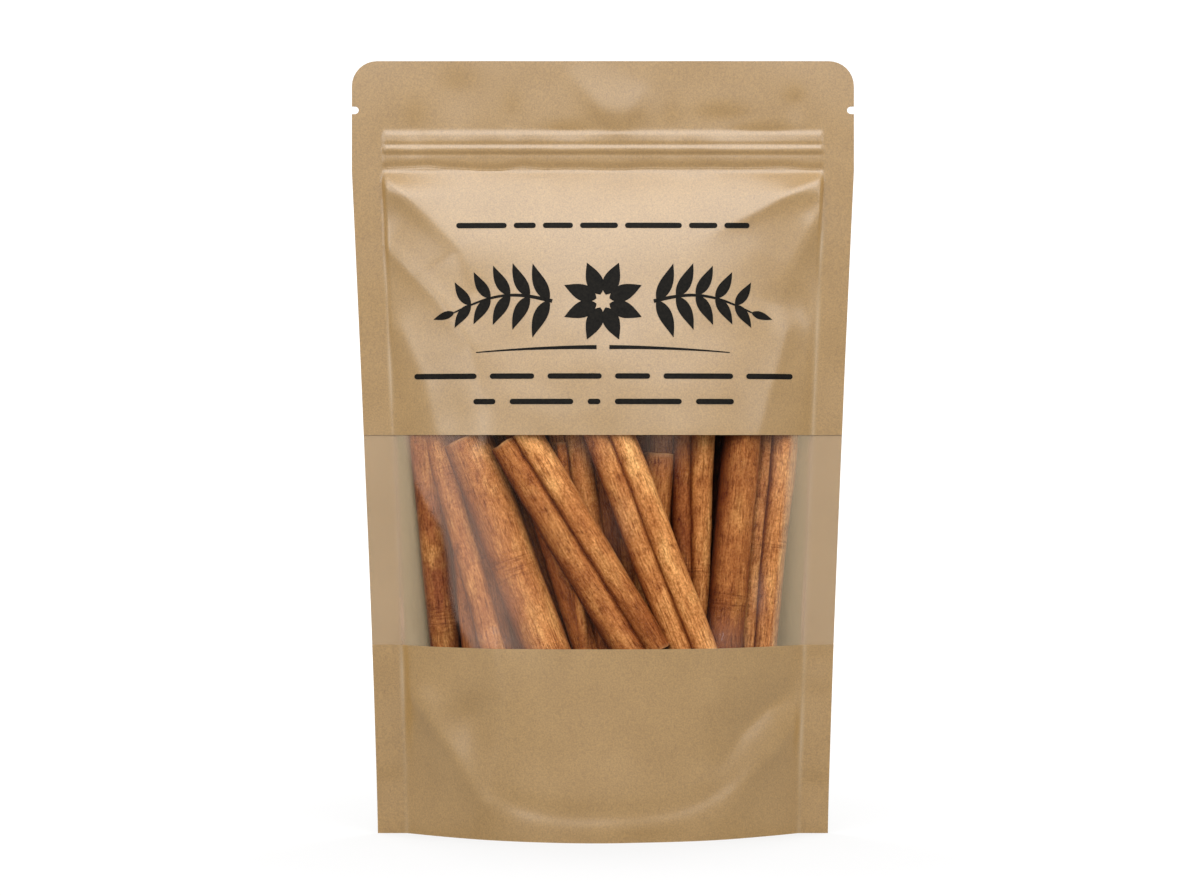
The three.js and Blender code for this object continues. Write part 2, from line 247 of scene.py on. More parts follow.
def stand_off(x, z, folds, dents, seed):
    """How far a panel's outer face is from the middle plane, with all its relief. The folds break
    off sharply at the seals, less so towards the foot, and start from nothing at the zip."""
    from_seal = inner_half(z) - np.abs(x)
    between_seals = smooth(0, 5 * MM, from_seal)
    edge_crease = smooth(0, (1.2 + 1.6 * smooth(150 * MM, 60 * MM, z)) * MM, from_seal)
    below_zip = smooth(0, 3 * MM, zip_foot - z)
    unevenness = wave_depth * ripple(x, z, 34 * MM, seed)
    unevenness = unevenness + crinkle_depth * ripple(x, z, 11 * MM, seed + 3)
    relief = zip_relief(x, z) * edge_crease
    relief = relief + between_seals * gusset_relief(x, z) * smooth(0, 6 * MM, z)
    relief = relief + between_seals * below_zip * unevenness
    freed = np.sin(math.pi / 2 * np.clip((zip_foot - z) / (9 * MM), 0, 1))
    for fold in folds:
        relief = relief + edge_crease * freed * fold_relief(x, z, fold)
    relief = relief - between_seals * dent_relief(x, z, dents)
    weld = hump(from_seal / weld_half) * smooth(0, weld_start, zip_foot - z)
    relief = relief + weld_ridge * weld * (1 + 1.2 * ripple(x, z, 26 * MM, 9))
    return seal_half + bulge(x, z) + relief


panel_columns = 140
seal_columns = 8
crowding = 1.25


def place_column(u, z):
    """The x of a column of a panel's grid. A few columns on each side share the seal, and the
    rest stand closer towards it."""
    column = np.abs(u) * panel_columns / 2
    open_columns = panel_columns / 2 - seal_columns
    within = (1 - (1 - np.minimum(column / open_columns, 1)) ** crowding) * inner_half(z)
    beyond = np.clip((column - open_columns) / seal_columns, 0, 1)
    return np.sign(u) * (within + beyond * (edge_half(z) - inner_half(z)))


def levels(low, high, step):
    """Even heights from low to high, about a step apart."""
    return np.linspace(low, high, max(2, round((high - low) / step) + 1))


def corners_of(piece):
    """The x, y and z of all of a piece's corners."""
    corners = np.empty(len(piece.data.vertices) * 3)
    piece.data.vertices.foreach_get("co", corners)
    return corners.reshape(-1, 3).T


def lay(piece, x, y, z):
    """Moves all of a piece's corners to their places."""
    piece.data.vertices.foreach_set("co", np.stack([x, y, z], axis=1).ravel())


def mark(piece, name, values):
    """Gives each corner of a piece a value that its material reads."""
    piece.data.attributes.new(name, "FLOAT", "POINT").data.foreach_set("value", values)


def add_grid(name, columns, rows):
    """A flat grid from -1 to 1 both ways, whose corners are then laid in their places."""
    bpy.ops.object.select_all(action="DESELECT")
    bpy.ops.mesh.primitive_grid_add(x_subdivisions=columns, y_subdivisions=rows, size=2)
    grid = bpy.context.object
    grid.name = name
    return grid


def add_panel(name, heights, face, way):
    """A panel as a grid laid on its face. way is -1 for one that faces the front, and 1 for
    one that faces the back."""
    rows = len(heights) - 1
    panel = add_grid(name, panel_columns, rows)
    u, v, _ = corners_of(panel)
    z = np.asarray(heights)[np.rint((v + 1) / 2 * rows).astype(int)]
    x = -way * place_column(u, z)
    lay(panel, x, way * face(x, z) + sway(x, z), z)
    return panel


def thicken(piece, thickness):
    """Gives a sheet its thickness, inwards from its outer face, with crisp cut edges."""
    wall = piece.modifiers.new("wall", "SOLIDIFY")
    wall.thickness = thickness
    wall.offset = -1
    bpy.ops.object.select_all(action="DESELECT")
    piece.select_set(True)
    bpy.context.view_layer.objects.active = piece
    bpy.ops.object.modifier_apply(modifier=wall.name)
    bpy.ops.object.shade_smooth_by_angle(angle=math.radians(50))


# The heights of a panel's rows: close together over the zip, the notches and the round corners.
corner_steps = 8
corner_heights = [
    pouch_height - corner_radius * (1 - math.sin(math.pi / 2 * step / corner_steps))
    for step in range(1, corner_steps + 1)
]
notch_foot = notch_height - notch_half
notch_head = notch_height + notch_half
notch_edge = 0.02 * MM
notch_heights = np.concatenate([
    [notch_foot - notch_edge],
    levels(notch_foot + notch_edge, notch_head - notch_edge, 0.3 * MM),
    [notch_head + notch_edge],
])
zip_heights = levels(zip_foot, 225.5 * MM, 0.32 * MM)
head_heights = np.concatenate([
    zip_heights,
    levels(226.6 * MM, notch_heights[0] - 1 * MM, 1.1 * MM),
    notch_heights,
    levels(notch_heights[-1] + 1 * MM, pouch_height - corner_radius, 1.1 * MM),
    corner_heights,
])

back_folds = [
    {"points": [(-68, 208), (-44, 184), (-36, 172)], "rise": 1.7, "flanks": (12, 7)},
    {"points": [(69, 208), (47, 186), (40, 170)], "rise": 1.8, "flanks": (7, 12)},
    {"points": [(66, 180), (50, 160)], "rise": 1.0, "flanks": (6, 9)},
    {"points": [(-61, 46), (-46, 30), (-38, 19)], "rise": 1.5, "flanks": (7, 5)},
    {"points": [(60, 44), (47, 31), (40, 20)], "rise": 1.5, "flanks": (5, 7)},
    {"points": [(12, 118), (-8, 84), (-14, 60)], "rise": 0.5, "flanks": (14, 12), "softness": 5},
]

back_dents = [(-41, 42, 6, 8, 8, 1.0), (44, 43, 7, 7, 7, 1.1), (20, 150, 16, 12, 12, 0.6)]


def back_face(x, z):
    return stand_off(x, z, back_folds, back_dents, seed=31)


def paint_seal_highlight(panel):
    """Marks a painted highlight on the laminate: a broken pale line along each seal's inner edge.
    """
    x, _, z = corners_of(panel)
    from_seal = inner_half(z) - np.abs(x)
    line = hump(from_seal / (0.7 * MM)) * smooth(0, weld_start, zip_foot - z)
    broken = np.clip(0.45 + 1.1 * ripple(x, z, 20 * MM, 17), 0.1, 1)
    mark(panel, "seal_highlight", line * broken)


back_heights = np.concatenate([levels(0, zip_foot - 1.3 * MM, 1.3 * MM), head_heights])
back_panel = add_panel("back_panel", back_heights, back_face, way=1)
paint_seal_highlight(back_panel)
thicken(back_panel, seal_half - 0.01 * MM)


# Kraft paper, unbleached and laminated with a satin film: an even brown with fine darker fibres,
# faint clouds of uneven pulp and a soft sheen, with a pale highlight painted along the seals. Its
# fibres are about 0.03 mm thick, too fine to show, so they and its grain are drawn half a
# millimetre wide or more.

def linear(hex_colour):
    """A colour written as sRGB hex, as the linear numbers that a shader takes."""
    shares = [int(hex_colour[i : i + 2], 16) / 255 for i in (1, 3, 5)]
    return [s / 12.92 if s <= 0.04045 else ((s + 0.055) / 1.055) ** 2.4 for s in shares] + [1]


def add_node(tree, kind, inputs, stops=(), output=0, **settings):
    """Adds a node and gives back its output. inputs gives each socket a value or the output that
    feeds it, and stops are the places and colours of a ramp."""
    node = tree.nodes.new("ShaderNode" + kind)
    for name, value in settings.items():
        setattr(node, name, value)
    for name, value in inputs.items():
        if isinstance(value, bpy.types.NodeSocket):
            tree.links.new(value, node.inputs[name])
        else:
            node.inputs[name].default_value = value
    for index, (place, colour) in enumerate(stops):
        elements = node.color_ramp.elements
        element = elements[index] if index < 2 else elements.new(place)
        element.position = place
        element.color = linear(colour) if isinstance(colour, str) else colour
    return node.outputs[output]


def new_material(name):
    """An empty material, with the node that its surface ends in."""
    material = bpy.data.materials.new(name)
    material.use_nodes = True
    material.node_tree.nodes.clear()
    return material, material.node_tree, material.node_tree.nodes.new("ShaderNodeOutputMaterial")


def grey(value):
    return [value, value, value, 1]


def make_kraft():
    material, tree, output = new_material("kraft_paper_satin_laminate")
    place = add_node(tree, "TexCoord", {}, output="Object")
    cloud = add_node(tree, "TexNoise", {
        "Vector": place, "Scale": 1 / (16 * MM), "Detail": 3, "Roughness": 0.55})
    grain = add_node(tree, "TexNoise", {
        "Vector": place, "Scale": 1 / (0.5 * MM), "Detail": 2, "Roughness": 0.7})
    tilted = add_node(tree, "Mapping", {
        "Vector": place, "Rotation": (0, 0.6, 0), "Scale": (1, 1, 0.3)})
    fibre = add_node(tree, "TexNoise", {
        "Vector": tilted, "Scale": 1 / (0.75 * MM), "Detail": 2, "Roughness": 0.6})
    colour = add_node(tree, "ValToRGB", {"Fac": cloud}, stops=[(0.3, "#ac864c"), (0.7, "#b38d53")])
    for pattern, stops in (
        (grain, [(0.32, [0.81, 0.79, 0.74, 1]), (0.68, grey(1.17))]),
        (fibre, [(0.26, [0.86, 0.83, 0.78, 1]), (0.38, grey(1.0))]),
    ):
        tone = add_node(tree, "ValToRGB", {"Fac": pattern}, stops=stops)
        colour = add_node(tree, "Mix", {"Factor": 1.0, "A": colour, "B": tone},
                          output="Result", data_type="RGBA", blend_type="MULTIPLY")
    # A highlight is painted in a pale colour along each seal's inner edge.
    seal_highlight = add_node(tree, "Attribute", {}, output="Fac", attribute_name="seal_highlight")
    highlight_share = add_node(tree, "Math", {0: seal_highlight, 1: 0.4}, operation="MULTIPLY")
    highlighted = add_node(tree, "Mix", {"Factor": highlight_share, "A": colour, "B": linear("#dcc5a2")},
                    output="Result", data_type="RGBA")
    relief = add_node(tree, "Bump", {"Height": grain, "Strength": 0.25, "Distance": 0.05 * MM})
    shader = add_node(tree, "BsdfPrincipled", {
        "Base Color": highlighted, "Roughness": 0.36, "IOR": 1.76, "Specular IOR Level": 1.0,
        "Normal": relief})
    tree.links.new(shader, output.inputs["Surface"])
    return material


kraft = make_kraft()
back_panel.data.materials.append(kraft)
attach(back_panel, "root")


# ---- The cinnamon sticks ----
# Quills of dried inner bark, cut to 80 mm. The bark curls as it dries, into one roll or into two
# that meet in a groove. They stand loose in the pouch, and the front ones lean on the window.

film_low, film_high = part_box("window_film")
window_foot, window_head = film_low.z, film_high.z
film_gap = 0.9 * MM
layer_depth = 7.4 * MM
stick_length = 80 * MM
bark_thickness = 0.85 * MM

# How often the bark runs round a quill of one roll, and how far, in degrees, round each of two.
single_turns = 1.5
double_turn = 500

# head and foot are x, in mm, where a quill's axis crosses the top and the foot of the window. It
# has one width for each roll, and foot_widths where it tapers. layer counts back from the film,
# cut is the height of a cut end that shows, and length is given where it isn't 80 mm. tone is the
# bark's lightness, partly its own and partly painted shade where a quill lies deep or in another's
# shadow, with foot_tone where the foot differs and middle where the middle is lighter, and red is
# its redness. open is the way, in degrees to the right, that a quill in the heap lies open to the
# light, and shade is painted on its bark away from that side. rings are heights where it is
# wrinkled.
quills = [
    {"head": -57.3, "foot": -50.4, "widths": (9,), "layer": 0.9, "red": 1.25, "tone": -0.14,
     "foot_tone": -0.16, "open": -15, "rings": (71, 66)},
    {"head": -48, "foot": -42, "widths": (5.5,), "layer": 1.3, "red": 0.3, "tone": -0.55,
     "foot_tone": -0.3},
    {"head": -44, "foot": -32.5, "widths": (7,), "layer": 1.3, "red": 0.2, "tone": -0.55,
     "foot_tone": -0.35},
    {"head": -54, "foot": -35.1, "widths": (6.8,), "foot_widths": (7.2,), "layer": 0.3, "red": 0.1,
     "tone": -0.02, "foot_tone": 0.14, "open": 15, "rings": (114,)},
    {"head": -43.9, "foot": -18.3, "widths": (15.4,), "foot_widths": (13.8,), "layer": 0,
     "cut": 125.1, "red": 0.15, "tone": 0.02, "foot_tone": 0.14, "open": 20, "rings": (87, 83)},
    {"head": -33, "foot": -13, "widths": (8,), "layer": 2, "red": 0.3, "tone": -0.75},
    {"head": -28.9, "foot": 12.8, "widths": (7.2, 8.2), "foot_widths": (8.8, 6.8), "layer": 0,
     "cut": 125.9, "length": 81.3, "red": (0.35, 0.1), "tone": (-0.14, 0.66),
     "foot_tone": (-0.14, -0.42), "open": 22},
    {"head": -27, "foot": -5.6, "widths": (8,), "layer": 1, "red": 0.1, "tone": -0.75,
     "foot_tone": -0.5},
    {"head": -22, "foot": -1.2, "widths": (6,), "layer": 2.1, "red": 0.2, "tone": -0.7},
    {"head": -12.2, "foot": -2.2, "widths": (4.4, 7.2), "layer": 1.2, "red": (0.2, 0.2),
     "tone": (0.0, 0.1), "foot_tone": (-0.75, -0.65)},
    {"head": -13.7, "foot": -6, "widths": (2.6,), "layer": 0.9, "cut": 124.5, "red": 0,
     "tone": -0.1, "foot_tone": -0.4},
    {"head": 5.6, "foot": 10.2, "widths": (5.5,), "layer": 1.6, "cut": 94, "red": 0, "tone": -0.3,
     "foot_tone": -0.8},
    {"head": -1.4, "foot": 5.1, "widths": (10,), "layer": 1.7, "red": 0.9, "tone": -0.5,
     "foot_tone": -0.9},
    {"head": 1.6, "foot": 27.6, "widths": (6.8, 7.1), "layer": 0, "red": (0.15, 0.05),
     "tone": (0.06, 0.46), "foot_tone": (0.18, 0.24), "open": 22},
    {"head": 9.7, "foot": 9.9, "widths": (7.2,), "layer": 2.4, "red": 0.2, "tone": -0.75},
    {"head": 18, "foot": 12.8, "widths": (9.6,), "layer": 1.2, "cut": 120.8, "red": 0.3,
     "tone": -0.14},
    {"head": 19.5, "foot": 17, "widths": (9,), "layer": 1.8, "red": 0.3, "tone": -0.35},
    {"head": 27.9, "foot": 27.6, "widths": (4.8, 7), "foot_widths": (5.8, 4.2), "layer": 1,
     "red": (0.8, 0.1), "tone": (-0.4, 0.1), "foot_tone": (-0.45, -0.1), "open": 34,
     "rings": (84,)},
    {"head": 43.8, "foot": 37.6, "widths": (11.4,), "layer": 0, "red": 0.2, "tone": -0.46,
     "foot_tone": -0.64, "middle": 0.46, "open": 36, "rings": (76, 73)},
    {"head": 53.8, "foot": 47.9, "widths": (4, 7.5), "foot_widths": (4.4, 6.4), "layer": 0.6,
     "red": (0.3, 0.05), "tone": (0.04, 0.32), "foot_tone": (0.1, 0.16), "open": 26,
     "rings": (92,)},
]

# Behind them are rows of quills whose bark is painted dark, as shade deep in the heap. Those that
# would pierce a panel's side are left out.
rear_rows = 2
rear_count = 14
rear_pitch = 8.6
rear_layer = 2.4
rear_head_reach = 53
rear_foot_reach = 49
rear_gap = 2.2 * MM


def front_form(x, z):
    """The front panel's outer face without its fine relief."""
    return seal_half + bulge(x, z)


def axis_depth(quill, thickest, x, z):
    """The y of a quill's axis at a point of the window: behind the film and clear of the back."""
    front = -front_form(x, z) + film_gap
    rear = front_form(x, z) - seal_half - rear_gap - thickest
    return float(min(front + thickest + quill["layer"] * layer_depth, rear))


def push_back(foot, along, bottom, top, reach, thickest):
    """How far a straight quill has to move back to lie wholly behind the film."""
    push = 0.0
    for share in np.linspace(0, 1, 9):
        place = foot + along * (bottom + (top - bottom) * share)
        for offset in (-1, -0.6, 0, 0.6, 1):
            x = place.x + offset * (reach - 0.4 * thickest)
            limit = -float(front_form(x, place.z)) + film_gap
            rounding = thickest * (1 if abs(offset) < 1 else 0.9)
            push = max(push, limit - (place.y - rounding))
    return push


def single_section(widths, count):
    """The section of a quill with one roll, from its outer edge inwards. Its edge lies at the
    back. The points are offsets from its axis, with how far each is tucked in, where shade is
    painted."""
    radius = widths[0] / 2 * MM
    points, tucked = [], []
    for step in range(2 * count + 1):
        turned = 2 * math.pi * single_turns * step / (2 * count)
        drawn = radius - 1.2 * bark_thickness * turned / (2 * math.pi)
        angle = turned - math.radians(75)
        points.append((drawn * math.cos(angle), drawn * math.sin(angle)))
        tucked.append(1.0 if turned > 2.1 * math.pi else 0.0)
    return points, tucked


def double_section(widths, count):
    """The section of a quill with two rolls. The bark crosses behind them, runs round their
    outer sides and tucks into the groove between them, which faces the front."""
    def roll(radius, mirror):
        """From the back of one roll round its outside to the front, and in at the groove."""
        arc = []
        for step in range(count + 1):
            degrees = -90 + double_turn * step / count
            angle = math.radians(degrees)
            over = max(0, angle - math.pi)
            drawn = radius - bark_thickness * (0.2 * over + 0.35 * min(1, over))
            place = (mirror * (radius + drawn * math.cos(angle)), drawn * math.sin(angle))
            # How far into the groove a point lies, where shade is painted on the bark.
            arc.append((place, float(smooth(118, 160, degrees))))
        return arc

    left, right = (roll(width / 2 * MM, mirror) for width, mirror in zip(widths, (-1, 1)))
    places = left[::-1] + right
    return [place for place, _ in places], [tuck for _, tuck in places]


def section_normals(section):
    """The outward direction at each point of a section."""
    normals = []
    for index in range(len(section)):
        x0, y0 = section[max(index - 1, 0)]
        x1, y1 = section[min(index + 1, len(section) - 1)]
        length = math.hypot(x1 - x0, y1 - y0)
        normals.append(((y1 - y0) / length, -(x1 - x0) / length))
    return normals


# What the bark's material reads from each corner: its lightness, its redness, how much shade is
# painted on it, whether it is cut bare and whether it is wrinkled.
bark_traits = ("tone", "red", "shade", "cut_end", "ring")

# How uneven a quill is: its bumps, the finer ones on them, its wrinkles and half the width of a
# band of them, its bend, its ragged ends, how far they are bare, and how much its width varies.
bump_height = 0.2 * MM
fine_bump_height = 0.1 * MM
wrinkle_height = 0.2 * MM
wrinkled_half = 2.6 * MM
bend_reach = 0.5 * MM
ragged_reach = 0.25 * MM
bare_reach = 0.9 * MM
swelling = 0.04


def add_quill(name, quill, seed, spacing, row_step):
    """One quill as a strip of bark laid along its section, with bumps, bends and wrinkles."""
    head_widths = quill["widths"]
    foot_widths = quill.get("foot_widths", head_widths)
    double = len(head_widths) == 2
    thickest = max(*head_widths, *foot_widths) / 2 * MM
    reach = max(sum(head_widths), sum(foot_widths)) / 2 * MM
    turns = double_turn / 360 if double else single_turns / 2
    count = max(8, round(turns * math.pi * max(head_widths) * MM / spacing))
    make_section = double_section if double else single_section
    head_section, tucked = make_section(head_widths, count)
    foot_section, _ = make_section(foot_widths, count)
    normals = section_normals(head_section)
    head_tones, foot_tones, reds = (
        value if double else (value, value)
        for value in (quill["tone"], quill.get("foot_tone", quill["tone"]), quill["red"]))
    opening = math.radians(quill.get("open", 0))

    foot_x, head_x = quill["foot"] * MM, quill["head"] * MM
    foot = Vector((foot_x, axis_depth(quill, thickest, foot_x, window_foot), window_foot))
    head = Vector((head_x, axis_depth(quill, thickest, head_x, window_head), window_head))
    along = (head - foot).normalized()
    if "cut" in quill:
        top = (quill["cut"] * MM - window_foot) / along.z
    else:
        top = (head - foot).length + (5 + 3 * noise.noise(Vector((seed, 0, 0)))) * MM
    length = quill.get("length", stick_length / MM) * MM
    foot.y += push_back(foot, along, top - length, top, reach, thickest)
    side = (Vector((1, 0, 0)) - along * along.x).normalized()
    front = side.cross(along)

    columns = len(head_section) - 1
    rows = max(6, round(length / row_step))
    strip = add_grid(name, columns, rows)
    mesh = strip.data
    around = [0.0]
    for (x0, y0), (x1, y1) in zip(head_section, head_section[1:]):
        around.append(around[-1] + math.hypot(x1 - x0, y1 - y0))
    values = {trait: [0.0] * len(mesh.vertices) for trait in bark_traits}
    places = [(0.0, 0.0)] * len(mesh.vertices)
    for vertex in mesh.vertices:
        column = round((vertex.co.x + 1) / 2 * columns)
        row = round((vertex.co.y + 1) / 2 * rows)
        run = around[column]
        share = row / rows
        raggedness = ragged_reach * noise.noise(Vector((run / (3 * MM), seed, row > rows / 2)))
        distance = top - length * (1 - share) + raggedness * (abs(2 * share - 1) ** 6)
        height = foot.z + along.z * distance
        taper = min(1, max(0, (height - window_foot) / (window_head - window_foot)))
        a, b = (f + (h - f) * taper for f, h in zip(foot_section[column], head_section[column]))
        na, nb = normals[column]
        ring = 0.0
        for level in quill.get("rings", ()):
            ring = max(ring, math.exp(-(((height - level * MM) / wrinkled_half) ** 2)))
        bump = bump_height * noise.noise(Vector((run / (3.2 * MM), distance / (15 * MM), seed)))
        fine = noise.noise(Vector((run / (1.2 * MM), distance / (8 * MM), seed + 5)))
        wrinkle = noise.noise(Vector((run / (9 * MM), distance / (0.85 * MM), seed + 9)))
        bump += fine_bump_height * fine
        bump += wrinkle_height * ring * wrinkle
        swell = 1 + swelling * noise.noise(Vector((distance / (22 * MM), seed, 3)))
        bend = bend_reach * noise.noise(Vector((distance / (38 * MM), seed, 8)))
        vertex.co = foot + along * distance + side * (a * swell + na * bump + bend)
        vertex.co += front * (b * swell + nb * bump)
        places[vertex.index] = (run / MM + 40 * seed, distance / MM)
        tone = foot_tones[a > 0] + (head_tones[a > 0] - foot_tones[a > 0]) * taper
        values["tone"][vertex.index] = tone + quill.get("middle", 0) * 4 * taper * (1 - taper)
        values["red"][vertex.index] = reds[a > 0]
        # Shade is painted on the side of the quill turned from the light, and on its tucked-in
        # turns.
        open_share = float(smooth(-0.6, 1, nb * math.cos(opening) + na * math.sin(opening))) ** 1.3
        values["shade"][vertex.index] = 1 - open_share * (1 - tucked[column])
        end = min(share, 1 - share) * length
        values["cut_end"][vertex.index] = max(0.0, 1 - end / bare_reach)
        values["ring"][vertex.index] = ring
    for trait, numbers in values.items():
        mark(strip, trait, numbers)
    mesh.uv_layers[0].name = "bark"
    for loop in mesh.loops:
        mesh.uv_layers["bark"].data[loop.index].uv = places[loop.vertex_index]
    thicken(strip, bark_thickness)
    return strip


def join(pieces, name):
    """Makes several pieces one."""
    bpy.ops.object.select_all(action="DESELECT")
    for piece in pieces:
        piece.select_set(True)
    bpy.context.view_layer.objects.active = pieces[0]
    bpy.ops.object.join()
    pieces[0].name = name
    return pieces[0]


# How far apart a quill's points are, round it and along it. Those at the film have the most.
front_grid = (0.65 * MM, 1.2 * MM)
inner_grid = (0.9 * MM, 1.6 * MM)
rear_grid = (1.1 * MM, 4 * MM)
strips = {1: [], 2: []}
for number, quill in enumerate(quills):
    rolls = len(quill["widths"])
    grid = front_grid if quill["layer"] < 1 else inner_grid
    strips[rolls].append(add_quill(f"quill_{number}", quill, number + 1, *grid))
single_piece = join(strips[1], "single_quills")
double_piece = join(strips[2], "double_quills")

rears = []
for row in range(rear_rows):
    for number in range(rear_count):
        place = (number - (rear_count - 1) / 2 + 0.5 * row) * rear_pitch
        lean = 9 * noise.noise(Vector((number * 0.7, row * 3.1, 5)))
        quill = {"head": place + lean, "foot": place * 0.92 - lean, "widths": (7.6,),
                 # Their low tone is painted shade for the depth of the heap.
                 "layer": rear_layer + 1.1 * row, "tone": -0.92, "red": 0.3}
        if abs(quill["head"]) > rear_head_reach or abs(quill["foot"]) > rear_foot_reach:
            continue
        seed = 50 + number + 20 * row
        rears.append(add_quill(f"rear_{row}_{number}", quill, seed, *rear_grid))
rear_piece = join(rears, "rear_quills")


# Cinnamon bark, dried and scraped: tan-brown with fine fibres lengthwise, dark and pale, redder
# in places, wrinkled across here and there, and paler where it is cut. It is dull. Its fibres are
# about 0.1 mm wide, too fine to show, so they are drawn 0.45 mm wide.

# Dark bark is also redder: its lightness is raised to these powers for red, green and blue.
redder_powers = (1, 1.4, 1.8)


def warm(share):
    """The tint of bark that is darker or lighter than usual."""
    return [share**power for power in redder_powers] + [1]


# The patterns on the bark: size in mm round the quill and along it, detail and roughness.
bark_patterns = {
    "clouds": (6, 18, 4, 0.6), "blush": (5, 13, 3, 0.6), "mottles": (2, 4.6, 5, 0.7),
    "fibres": (0.45, 5, 3, 0.6), "threads": (0.9, 15, 3, 0.6), "grain": (0.5, 0.9, 2, 0.6),
    "flecks": (0.5, 2.2, 2, 0.5), "patches": (4, 9, 2, 0.5), "stains": (2.6, 6, 4, 0.65),
    "wrinkles": (7, 0.8, 3, 0.6),
}


def make_bark():
    material, tree, output = new_material("cinnamon_bark_dried")
    places = add_node(tree, "UVMap", {}, uv_map="bark")
    traits = {name: add_node(tree, "Attribute", {}, output="Fac", attribute_name=name)
              for name in bark_traits}
    patterns = {}
    for name, (around, along, detail, roughness) in bark_patterns.items():
        sized = add_node(tree, "Mapping", {
            "Vector": places, "Scale": (1 / around, 1 / along, 1)})
        patterns[name] = add_node(tree, "TexNoise", {
            "Vector": sized, "Scale": 1, "Detail": detail, "Roughness": roughness})

    base = add_node(tree, "ValToRGB", {"Fac": patterns["clouds"]}, stops=[
        (0.34, "#a8632f"), (0.5, "#bd783e"), (0.66, "#cf8f4f")])
    blushing = add_node(tree, "ValToRGB", {"Fac": patterns["blush"]}, stops=[
        (0.4, grey(0)), (0.62, grey(0.7))])
    redness = add_node(tree, "Math", {0: blushing, 1: traits["red"]}, operation="MULTIPLY")
    colour = add_node(tree, "Mix", {"Factor": redness, "A": base, "B": linear("#96502a")},
                      output="Result", data_type="RGBA")

    # What darkens or lightens the bark: its pattern, its tints and how much of it there is.
    flecked = add_node(tree, "ValToRGB", {"Fac": patterns["patches"]}, stops=[
        (0.46, grey(0)), (0.62, grey(0.8))])
    ringed = add_node(tree, "Math", {0: traits["ring"], 1: 0.8}, operation="MULTIPLY")
    for name, stops, amount in (
        ("mottles", [(0.32, warm(0.68)), (0.5, warm(1.02)), (0.68, warm(1.16))], 1.0),
        ("fibres", [(0.33, warm(0.52)), (0.46, warm(1.0)), (0.66, warm(1.12))], 1.0),
        ("threads", [(0.34, warm(0.82)), (0.66, warm(1.12))], 1.0),
        ("grain", [(0.34, warm(0.76)), (0.66, warm(1.18))], 1.0),
        ("stains", [(0.3, warm(0.62)), (0.44, warm(1.0))], 1.0),
        ("flecks", [(0.34, warm(0.4)), (0.43, warm(1.0))], flecked),
        ("wrinkles", [(0.38, warm(0.5)), (0.52, warm(1.0))], ringed),
    ):
        tints = add_node(tree, "ValToRGB", {"Fac": patterns[name]}, stops=stops)
        colour = add_node(tree, "Mix", {"Factor": amount, "A": colour, "B": tints},
                          output="Result", data_type="RGBA", blend_type="MULTIPLY")
    bared = add_node(tree, "Math", {0: traits["cut_end"], 1: 0.45}, operation="MULTIPLY")
    colour = add_node(tree, "Mix", {"Factor": bared, "A": colour, "B": linear("#d3a873")},
                      output="Result", data_type="RGBA")

    # The lightness of each quill, with the shade painted on its sides and in its grooves, as a tint
    # that is redder where it is low.
    toned = add_node(tree, "Math", {0: traits["tone"], 1: 0.95, 2: 1.06}, operation="MULTIPLY_ADD")
    lit = add_node(tree, "Math", {0: traits["shade"], 1: -0.9, 2: 1.0}, operation="MULTIPLY_ADD")
    lightness = add_node(tree, "Math", {0: toned, 1: lit}, operation="MULTIPLY")
    tint = add_node(tree, "CombineXYZ", {
        index: add_node(tree, "Math", {0: lightness, 1: power}, operation="POWER")
        for index, power in enumerate(redder_powers)})
    colour = add_node(tree, "Mix", {"Factor": 1.0, "A": colour, "B": tint},
                      output="Result", data_type="RGBA", blend_type="MULTIPLY")

    height = patterns["mottles"]
    crossed = add_node(tree, "Math", {0: patterns["wrinkles"], 1: traits["ring"]},
                       operation="MULTIPLY")
    for pattern, share in ((crossed, 2.0), (patterns["fibres"], 0.7)):
        height = add_node(tree, "Math", {0: pattern, 1: share, 2: height},
                          operation="MULTIPLY_ADD")
    relief = add_node(tree, "Bump", {"Height": height, "Strength": 0.6, "Distance": 0.25 * MM})
    shader = add_node(tree, "BsdfPrincipled", {
        "Base Color": colour, "Roughness": 0.6, "Specular IOR Level": 0.12, "Normal": relief})
    tree.links.new(shader, output.inputs["Surface"])
    return material


bark = make_bark()
for piece in (single_piece, double_piece, rear_piece):
    piece.data.materials.append(bark)
    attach(piece, "root")
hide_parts("cinnamon_sticks")


# ---- The window film ----
# Clear film, laid behind the front paper and welded with it. It is clear over most of the sticks,
# milky in patches that are partly painted reflection, with a painted gleam along the side seals.

